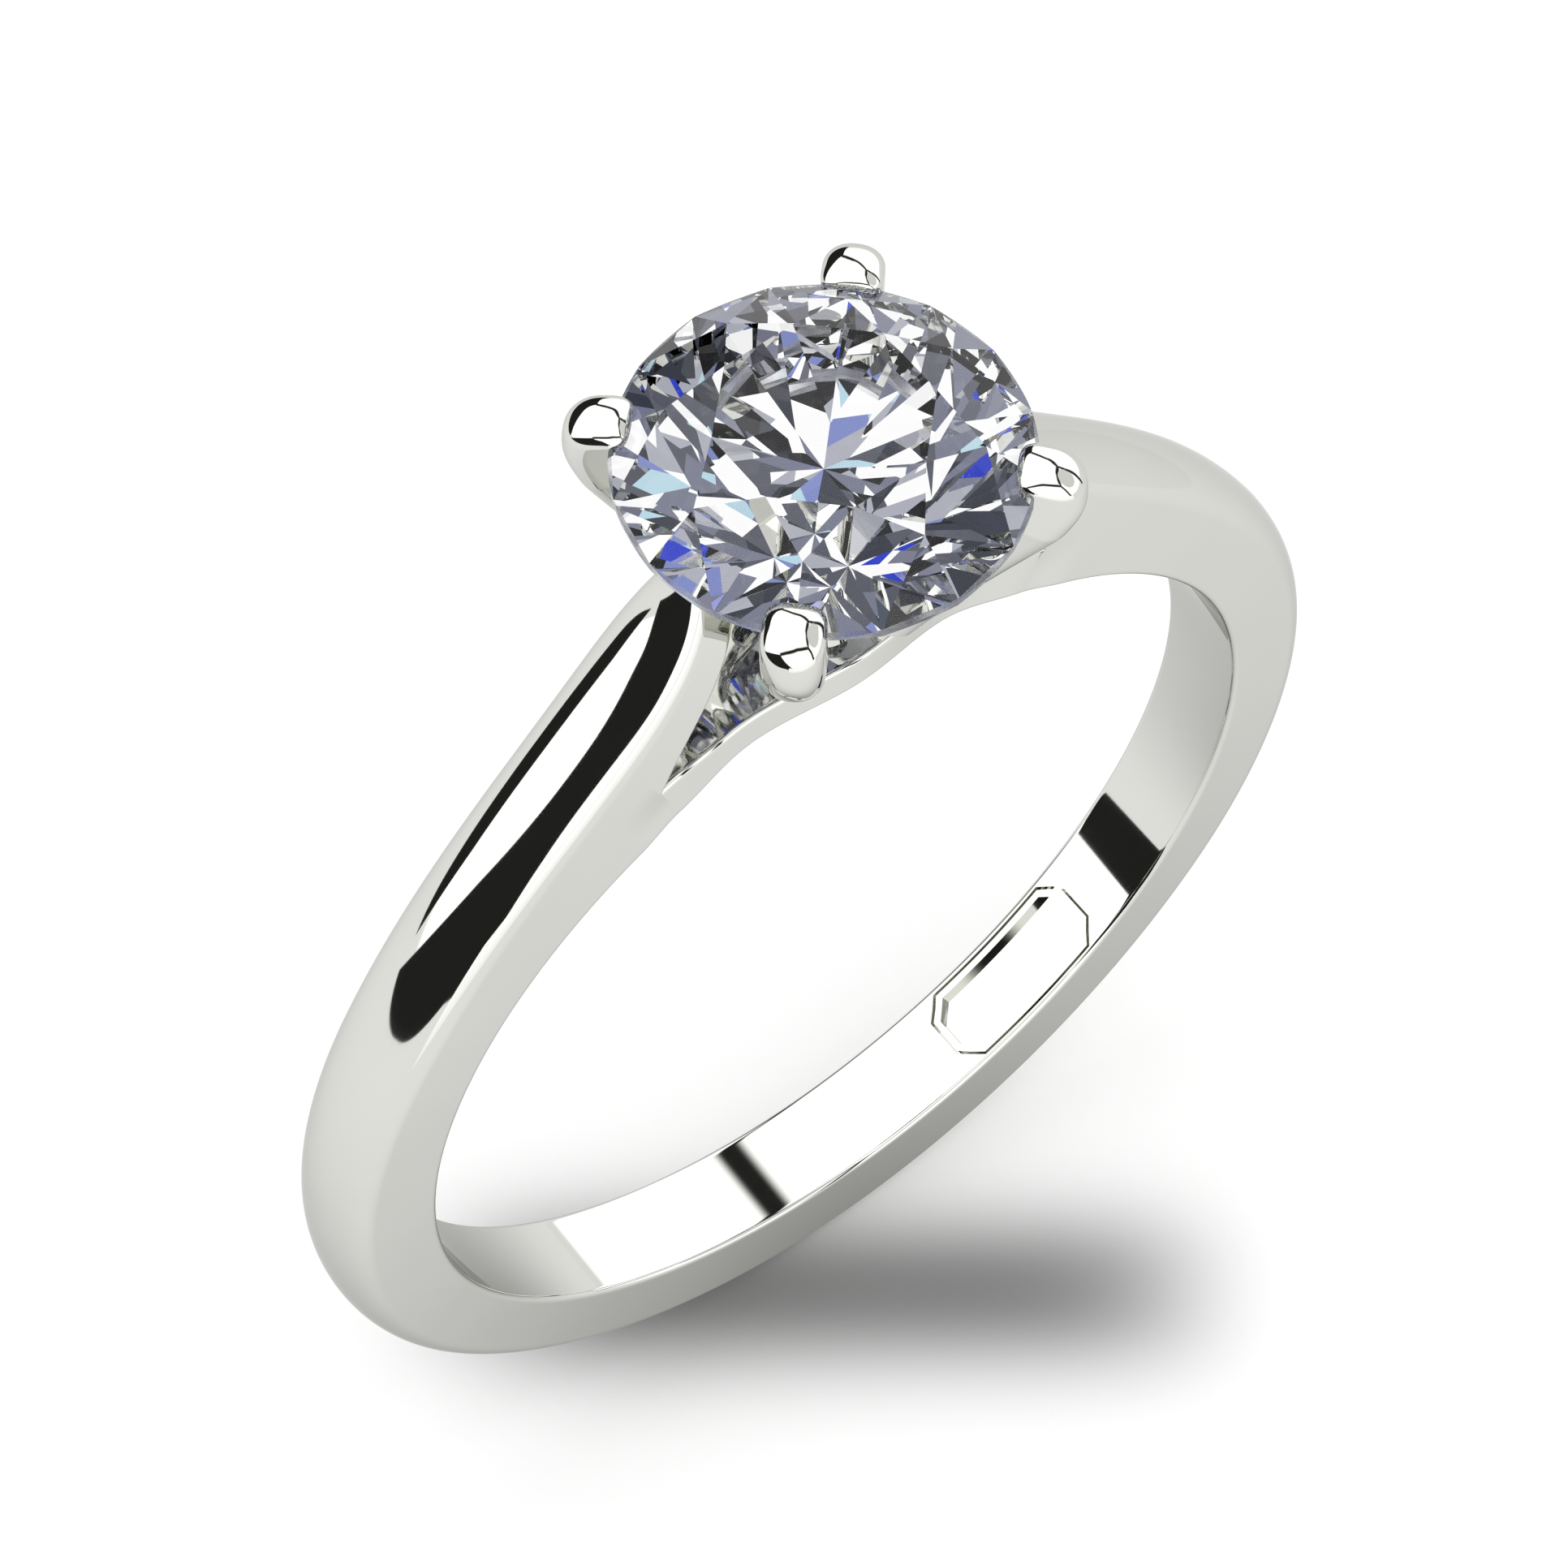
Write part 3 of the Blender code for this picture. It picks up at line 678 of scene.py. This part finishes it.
def claw_ring(centre, along, half_width, half_depth, inner_squareness, slope=0.0):
    """A section of a claw: an oval, flatter towards the stone, square to the path or sloped outward."""
    outward = right_of(along)
    ring = []
    for k in range(CLAW_SIDES):
        turn = 2.0 * math.pi * k / CLAW_SIDES
        power = 2.0 / (CLAW_SQUARENESS if math.cos(turn) > 0 else inner_squareness)
        across = math.copysign(abs(math.sin(turn)) ** power, math.sin(turn))
        out = math.copysign(abs(math.cos(turn)) ** power, math.cos(turn))
        reach = half_depth * out
        place = centre + outward * reach
        ring.append(Vector((place.x, half_width * across, place.y - slope * reach)))
    return ring


def make_claw(name, angle, cutters, material):
    path = claw_path()
    cap = 1.0 - share_before_tip(path, CLAW_CAP_LENGTH)
    slope_start = share_before_tip(path, CLAW_SLOPE_START)
    slope_full = share_before_tip(path, CLAW_SLOPE_FULL)
    shares = [mix(0.0, 1.0 - cap, share) for share in steps(CLAW_STEPS)]
    shares += [1.0 - cap + cap * math.sin(math.pi / 2 * share) for share in steps(CLAW_CAP_STEPS)[1:-1]]
    foot_along = (path[1] - path[0]).normalized()
    sunk_foot = path[0] - foot_along * CLAW_FOOT_DEPTH
    foot = (CLAW_FOOT_WIDTH / 2, CLAW_FOOT_DEPTH / 2, CLAW_STEM_SQUARENESS)
    rings = [claw_ring(sunk_foot, foot_along, *foot)]
    for share in shares:
        centre, along = bezier(path, share)
        growth = min(share / CLAW_FULL_AT, 1.0)
        into_cap = max(0.0, (share - (1.0 - cap)) / cap)
        shrink = math.sqrt(1.0 - into_cap ** 2)
        half_width = mix(CLAW_FOOT_WIDTH, CLAW_TIP_WIDTH, growth) / 2 * shrink
        half_depth = mix(CLAW_FOOT_DEPTH, CLAW_TIP_DEPTH, growth) / 2 * shrink
        slope = math.tan(CLAW_SLOPE) * smooth((share - slope_start) / (slope_full - slope_start))
        inner_squareness = mix(CLAW_STEM_SQUARENESS, CLAW_SQUARENESS, into_cap)
        rings.append(claw_ring(centre, along, half_width, half_depth, inner_squareness, slope))
    turn = Matrix.Rotation(angle, 3, "Z")
    claw = loft(name, [[turn @ point for point in ring] for ring in rings], material)
    for cutter in cutters:
        cut(claw, cutter)
    return claw


def make_bridge_seat():
    """A cylinder of the bridge's top, which shapes the feet that stand on it."""
    bm = bmesh.new()
    radius = BRIDGE_TOP / math.cos(math.pi / BRIDGE_SEAT_SIDES)
    bmesh.ops.create_cone(
        bm, cap_ends=True, segments=BRIDGE_SEAT_SIDES, radius1=radius, radius2=radius,
        depth=2.0 * STONE_RADIUS, matrix=Matrix.Rotation(math.pi / 2, 4, "X"))
    return mesh_object("bridge_seat_cutter", bm, None)


def make_collet(bridge_seat, material):
    high = BRIDGE_TOP + COLLET_HEIGHT
    profile = [
        (COLLET_FOOT_RADIUS, BRIDGE_TOP - COLLET_HEIGHT),
        (COLLET_FOOT_RADIUS, BRIDGE_TOP),
        (COLLET_TOP_RADIUS, high - COLLET_LIP_HEIGHT),
        (COLLET_TOP_RADIUS, high),
        (COLLET_TOP_RADIUS / 2, high - COLLET_DISH_DEPTH)]
    turns = [2.0 * math.pi * k / COLLET_SIDES for k in range(COLLET_SIDES)]
    rings = [[polar(radius, turn, height) for turn in turns] for radius, height in profile]
    collet = loft("collet_polished", rings, material)
    cut(collet, bridge_seat)
    return collet


# Materials

def new_material(name):
    material = bpy.data.materials.new(name)
    material.use_nodes = True
    return material, material.node_tree.nodes, material.node_tree.links


def polished_metal():
    """White gold with a faint cloud in its tint and polish."""
    material, nodes, links = new_material("polished_white_metal")
    shader = nodes["Principled BSDF"]
    shader.inputs["Metallic"].default_value = 1.0
    shader.inputs["Specular Tint"].default_value = METAL_EDGE_TINT
    place = nodes.new("ShaderNodeTexCoord")
    cloud = nodes.new("ShaderNodeTexNoise")
    cloud.inputs["Scale"].default_value = METAL_CLOUD_SCALE
    cloud.inputs["Detail"].default_value = METAL_CLOUD_DETAIL
    links.new(place.outputs["Object"], cloud.inputs["Vector"])
    tint = nodes.new("ShaderNodeValToRGB")
    for stop, colour in zip(tint.color_ramp.elements, METAL_TINTS):
        stop.color = colour
    links.new(cloud.outputs["Fac"], tint.inputs["Fac"])
    links.new(tint.outputs["Color"], shader.inputs["Base Color"])
    polish = nodes.new("ShaderNodeMapRange")
    polish.inputs["To Min"].default_value, polish.inputs["To Max"].default_value = METAL_ROUGHNESS
    links.new(cloud.outputs["Fac"], polish.inputs["Value"])
    links.new(polish.outputs["Result"], shader.inputs["Roughness"])
    return material


def diamond_glass():
    """Clear and sharply polished, with a finely ground girdle."""
    material, nodes, links = new_material("clear_diamond")
    shader = nodes["Principled BSDF"]
    shader.inputs["Base Color"].default_value = (1, 1, 1, 1)
    shader.inputs["IOR"].default_value = STONE_IOR
    shader.inputs["Transmission Weight"].default_value = 1.0
    shader.inputs["Specular Tint"].default_value = STONE_EDGE_TINT
    place = nodes.new("ShaderNodeTexCoord")
    apart = nodes.new("ShaderNodeSeparateXYZ")
    links.new(place.outputs["Object"], apart.inputs["Vector"])
    girdle = nodes.new("ShaderNodeMath")
    girdle.operation = "COMPARE"
    girdle.inputs[1].default_value = GIRDLE_HEIGHT
    girdle.inputs[2].default_value = GIRDLE_THICKNESS / 2
    links.new(apart.outputs["Z"], girdle.inputs[0])
    grain = nodes.new("ShaderNodeTexNoise")
    grain.inputs["Scale"].default_value = GIRDLE_GRAIN_SCALE
    links.new(place.outputs["Object"], grain.inputs["Vector"])
    ground = nodes.new("ShaderNodeMapRange")
    ground.inputs["To Min"].default_value, ground.inputs["To Max"].default_value = GIRDLE_ROUGHNESS
    links.new(grain.outputs["Fac"], ground.inputs["Value"])
    polish = nodes.new("ShaderNodeMath")
    polish.operation = "MULTIPLY"
    links.new(ground.outputs["Result"], polish.inputs[0])
    links.new(girdle.outputs["Value"], polish.inputs[1])
    links.new(polish.outputs["Value"], shader.inputs["Roughness"])
    return material


# Studio

def make_camera():
    camera = bpy.data.cameras.new("camera")
    camera.sensor_width = SENSOR
    camera.sensor_height = SENSOR
    camera.sensor_fit = "HORIZONTAL"
    camera.lens = FOCAL_PIXELS * SENSOR / IMAGE_SIZE
    camera.clip_start, camera.clip_end = CAMERA_CLIP
    item = bpy.data.objects.new("camera", camera)
    right = CAMERA_RIGHT.normalized()
    back = right.cross(CAMERA_UP).normalized()
    up = back.cross(right)
    turn = Matrix((right, up, back)).transposed()
    item.matrix_world = Matrix.Translation(CAMERA_PLACE) @ turn.to_4x4()
    bpy.context.scene.collection.objects.link(item)
    bpy.context.scene.camera = item


def heading(azimuth, elevation):
    """A unit vector from degrees: azimuth from +X towards +Y, elevation from the horizon."""
    turn = math.radians(azimuth)
    lift = math.radians(elevation)
    return polar(math.cos(lift), turn, math.sin(lift))


def edge_line(corners):
    """Evenly numbered directions along an edge that is given by a few corners."""
    points = [heading(*corner) for corner in corners]
    line = []
    for share in steps(CARD_STEPS):
        place = share * (len(points) - 1)
        first = min(int(place), len(points) - 2)
        line.append(mix(points[first], points[first + 1], place - first).normalized())
    return line


def strip(corners, width):
    """The two edges of a strip of even width along an edge."""
    line = edge_line(corners)
    low, high = [], []
    for k, point in enumerate(line):
        ahead = line[min(k + 1, CARD_STEPS)] - line[max(k - 1, 0)]
        side = point.cross(ahead).normalized() * math.tan(math.radians(width) / 2)
        low.append(point - side)
        high.append(point + side)
    return low, high


def disc(azimuth, elevation, radius):
    """The lower and the upper half of a circle's edge."""
    centre = heading(azimuth, elevation)
    right = Vector((0, 0, 1)).cross(centre).normalized()
    up = centre.cross(right)
    size = math.tan(math.radians(radius))
    low, high = [], []
    for share in steps(CARD_STEPS):
        turn = math.pi * share
        across = centre + right * (size * math.cos(turn))
        low.append(across - up * (size * math.sin(turn)))
        high.append(across + up * (size * math.sin(turn)))
    return low, high


def card_glow():
    """A plain glow, whose colour is written on the points of each card."""
    material, nodes, links = new_material("card_glow")
    nodes.remove(nodes["Principled BSDF"])
    glow = nodes.new("ShaderNodeEmission")
    colour = nodes.new("ShaderNodeAttribute")
    colour.attribute_name = CARD_COLOUR
    links.new(colour.outputs["Color"], glow.inputs["Color"])
    links.new(glow.outputs["Emission"], nodes["Material Output"].inputs["Surface"])
    return material


def coloured_grid(name, rows, colour_at, material):
    """Skins rows of points, with a colour written on each point."""
    bm = bmesh.new()
    layer = bm.verts.layers.float_color.new(CARD_COLOUR)
    lines = []
    for share, row in zip(steps(len(rows) - 1), rows):
        line = []
        for place in row:
            vert = bm.verts.new(place)
            vert[layer] = (*colour_at(share, place), 1)
            line.append(vert)
        lines.append(line)
    for near, far in zip(lines, lines[1:]):
        for k in range(len(near) - 1):
            bm.faces.new((near[k], near[k + 1], far[k + 1], far[k]))
    item = mesh_object(name, bm, material)
    return item


def only_in_metal(item):
    """Leaves a card to be seen only in the mirror of the metal."""
    item.visible_camera = False
    item.visible_diffuse = False
    item.visible_shadow = False
    item.visible_transmission = False


def make_card(name, edges, colour_at, glow):
    """A flag or a panel round the ring, between two edges."""
    rows = []
    for share in steps(CARD_ROWS):
        rows.append([mix(a, b, share).normalized() * CARD_DISTANCE for a, b in zip(*edges)])
    only_in_metal(coloured_grid("card_" + name, rows, colour_at, glow))


def flag_colour(share, place):
    return FLAG_BLACK


def seam_colour(share, place):
    """Black along the middle, with soft edges."""
    return STUDIO_WHITE.lerp(FLAG_BLACK, smooth(min(share, 1.0 - share) / SEAM_SOFTNESS))


def side_panel_colour(share, place):
    return SIDE_PANEL_GREY


def skirt_colour(share, place):
    return PAPER_WHITE.lerp(STUDIO_WHITE, share)


def metal_surroundings(nodes, links, way):
    """Panels over paper, by the height of a direction."""
    split = nodes.new("ShaderNodeSeparateXYZ")
    links.new(way, split.inputs["Vector"])
    (low, paper), (high, panels) = SKY_LEVELS
    dim = nodes.new("ShaderNodeMapRange")
    dim.inputs["From Max"].default_value = RIGHT_FULL_AT
    dim.inputs["To Min"].default_value = paper
    dim.inputs["To Max"].default_value = RIGHT_LEVEL
    links.new(split.outputs["X"], dim.inputs["Value"])
    height = nodes.new("ShaderNodeMapRange")
    height.inputs["From Min"].default_value = math.sin(math.radians(low))
    height.inputs["From Max"].default_value = math.sin(math.radians(high))
    height.inputs["To Max"].default_value = panels
    links.new(dim.outputs["Result"], height.inputs["To Min"])
    links.new(split.outputs["Z"], height.inputs["Value"])
    return height.outputs["Result"]


def share_of_way(nodes, links, way, direction):
    """How far a direction lies along a given one."""
    product = nodes.new("ShaderNodeVectorMath")
    product.operation = "DOT_PRODUCT"
    product.inputs[1].default_value = direction
    links.new(way, product.inputs[0])
    return product.outputs["Value"]


def total(nodes, links, first, second):
    add = nodes.new("ShaderNodeMath")
    links.new(first, add.inputs[0])
    links.new(second, add.inputs[1])
    return add.outputs["Value"]


def stone_surroundings(nodes, links, way):
    """A patchwork of tones."""
    moved = nodes.new("ShaderNodeVectorMath")
    moved.inputs[1].default_value = PATCH_SHIFT
    links.new(way, moved.inputs[0])
    patches = nodes.new("ShaderNodeTexVoronoi")
    patches.inputs["Scale"].default_value = PATCH_SCALE
    links.new(moved.outputs["Vector"], patches.inputs["Vector"])
    draw = nodes.new("ShaderNodeSeparateColor")
    links.new(patches.outputs["Color"], draw.inputs["Color"])
    dark = nodes.new("ShaderNodeMapRange")
    wide, narrow = PATCH_DARK_SPREAD
    dark.inputs["From Min"].default_value = math.cos(math.radians(wide))
    dark.inputs["From Max"].default_value = math.cos(math.radians(narrow))
    dark.inputs["To Max"].default_value = -PATCH_DARK_DEPTH
    links.new(share_of_way(nodes, links, way, heading(*PATCH_DARK_WAY)), dark.inputs["Value"])
    lean = share_of_way(nodes, links, way, PATCH_TOWARDS)
    bias = total(nodes, links, lean, dark.outputs["Result"])
    tones = nodes.new("ShaderNodeValToRGB")
    ramp = tones.color_ramp
    ramp.interpolation = "CONSTANT"
    ramp.elements.remove(ramp.elements[1])
    ramp.elements[0].color = (*PATCH_TONES[0][1], 1)
    for start, tone in PATCH_TONES[1:]:
        ramp.elements.new(start).color = (*tone, 1)
    links.new(total(nodes, links, draw.outputs["Red"], bias), tones.inputs["Fac"])
    return tones.outputs["Color"]


def make_world():
    """White for the eye and the floor, with surroundings of their own for the metal and for the stone."""
    world = bpy.data.worlds.new("studio")
    bpy.context.scene.world = world
    world.use_nodes = True
    nodes = world.node_tree.nodes
    links = world.node_tree.links
    way = nodes.new("ShaderNodeTexCoord").outputs["Generated"]
    path = nodes.new("ShaderNodeLightPath")
    in_metal = nodes.new("ShaderNodeMix")
    in_metal.data_type = "RGBA"
    in_metal.inputs["A"].default_value = (1, 1, 1, 1)
    links.new(path.outputs["Is Glossy Ray"], in_metal.inputs["Factor"])
    links.new(metal_surroundings(nodes, links, way), in_metal.inputs["B"])
    in_stone = nodes.new("ShaderNodeMix")
    in_stone.data_type = "RGBA"
    links.new(path.outputs["Is Transmission Ray"], in_stone.inputs["Factor"])
    links.new(in_metal.outputs["Result"], in_stone.inputs["A"])
    links.new(stone_surroundings(nodes, links, way), in_stone.inputs["B"])
    links.new(in_stone.outputs["Result"], nodes["Background"].inputs["Color"])


def make_studio(glow):
    make_world()
    for name, low, high in FLAGS:
        make_card(name, (edge_line(low), edge_line(high)), flag_colour, glow)
    for name, corners, width in SEAMS:
        make_card(name, strip(corners, width), seam_colour, glow)
    make_card("side_panel", disc(*SIDE_PANEL), side_panel_colour, glow)
    make_card("front_skirt", [edge_line(edge) for edge in FRONT_SKIRT], skirt_colour, glow)


def bar_shade(place):
    """How much of the painted bar of shadow lies at a place on the floor."""
    away = place.to_2d() - SHADE_CENTRE
    away.rotate(Matrix.Rotation(-SHADE_TURN, 2))
    along_bar = (abs(away.x) / SHADE_HALF_LENGTH) ** SHADE_LENGTH_POWER
    across_bar = (abs(away.y) / SHADE_HALF_WIDTH) ** SHADE_WIDTH_POWER
    return math.exp(-along_bar - across_bar)


# Paper white, with the bar of shadow painted into it
def painted_shadow_floor_colour(share, place):
    return PAPER_WHITE * (1.0 - SHADE_DEPTH * bar_shade(place))


# A shade painted round the foot of the ring, on a glowing disc that only the metal mirrors
def painted_shade_mirrored_floor_colour(share, place):
    away = place.to_2d() - MIRRORED_SHADE_CENTRE
    reach = (away.x / MIRRORED_SHADE_LENGTH) ** 2 + (away.y / MIRRORED_SHADE_WIDTH) ** 2
    return PAPER_WHITE * (1.0 - MIRRORED_SHADE_DEPTH * math.exp(-reach ** MIRRORED_SHADE_POWER))


def floor_rows(reach, rings, height):
    """Circles of points, closer together under the ring."""
    rows = []
    for share in steps(rings)[1:]:
        turns = [2.0 * math.pi * turn for turn in steps(FLOOR_SIDES)]
        rows.append([polar(reach * share ** FLOOR_CROWDING, turn, height) for turn in turns])
    return rows


def floor_paper():
    """Matt paper whose colour carries the painted shadow, lifted to white for the eye where the ring only
    dims it a little.
    """
    material, nodes, links = new_material("floor_paper")
    shader = nodes["Principled BSDF"]
    shader.inputs["Roughness"].default_value = FLOOR_ROUGHNESS
    shader.inputs["Specular IOR Level"].default_value = 0.0
    colour = nodes.new("ShaderNodeAttribute")
    colour.attribute_name = CARD_COLOUR
    path = nodes.new("ShaderNodeLightPath")
    lift = nodes.new("ShaderNodeMath")
    lift.operation = "MULTIPLY"
    lift.inputs[1].default_value = FLOOR_LIFT
    links.new(path.outputs["Is Camera Ray"], lift.inputs[0])
    links.new(colour.outputs["Color"], shader.inputs["Base Color"])
    links.new(colour.outputs["Color"], shader.inputs["Emission Color"])
    links.new(lift.outputs["Value"], shader.inputs["Emission Strength"])
    return material


def make_floor(glow):
    """White paper with a shadow painted under the ring, and just under it a glowing disc with a painted
    shade, which stands for the part of the floor that the metal mirrors.
    """
    rows = floor_rows(FLOOR_REACH, FLOOR_RINGS, FLOOR_HEIGHT)
    # The floor's colour carries a painted shadow under the ring
    floor = coloured_grid("floor", rows, painted_shadow_floor_colour, floor_paper())
    floor.visible_glossy = False
    floor.visible_transmission = False
    rows = floor_rows(MIRRORED_REACH, MIRRORED_RINGS, FLOOR_HEIGHT - MIRRORED_DROP)
    # A glowing disc with a painted shade, seen only in the metal
    only_in_metal(coloured_grid("card_painted_floor_shade", rows, painted_shade_mirrored_floor_colour, glow))


def make_ring():
    metal = polished_metal()
    stone_seat = make_brilliant("stone_seat_cutter", SEAT_GAP, None)
    bridge_seat = make_bridge_seat()
    dress(make_shank(metal), "shank")
    dress(make_shoulder("left_shoulder_polished", True, stone_seat, metal), "left_shoulder")
    dress(make_shoulder("right_shoulder_polished", False, stone_seat, metal), "right_shoulder")
    dress(make_bridge(metal), "bridge")
    dress(make_collet(bridge_seat, metal), "collet")
    for node, degrees in CLAWS:
        claw = make_claw(node + "_polished", math.radians(degrees), (stone_seat, bridge_seat), metal)
        dress(claw, node)
    dress(make_brilliant("diamond_cut", 0.0, diamond_glass()), "diamond")
    remove((stone_seat, bridge_seat))


make_ring()
make_camera()
card_material = card_glow()
make_studio(card_material)
make_floor(card_material)

scene = bpy.context.scene
scene.view_settings.view_transform = "Standard"
scene.cycles.max_bounces = MAX_BOUNCES
scene.cycles.glossy_bounces = GLOSSY_BOUNCES
scene.cycles.transmission_bounces = TRANSMISSION_BOUNCES
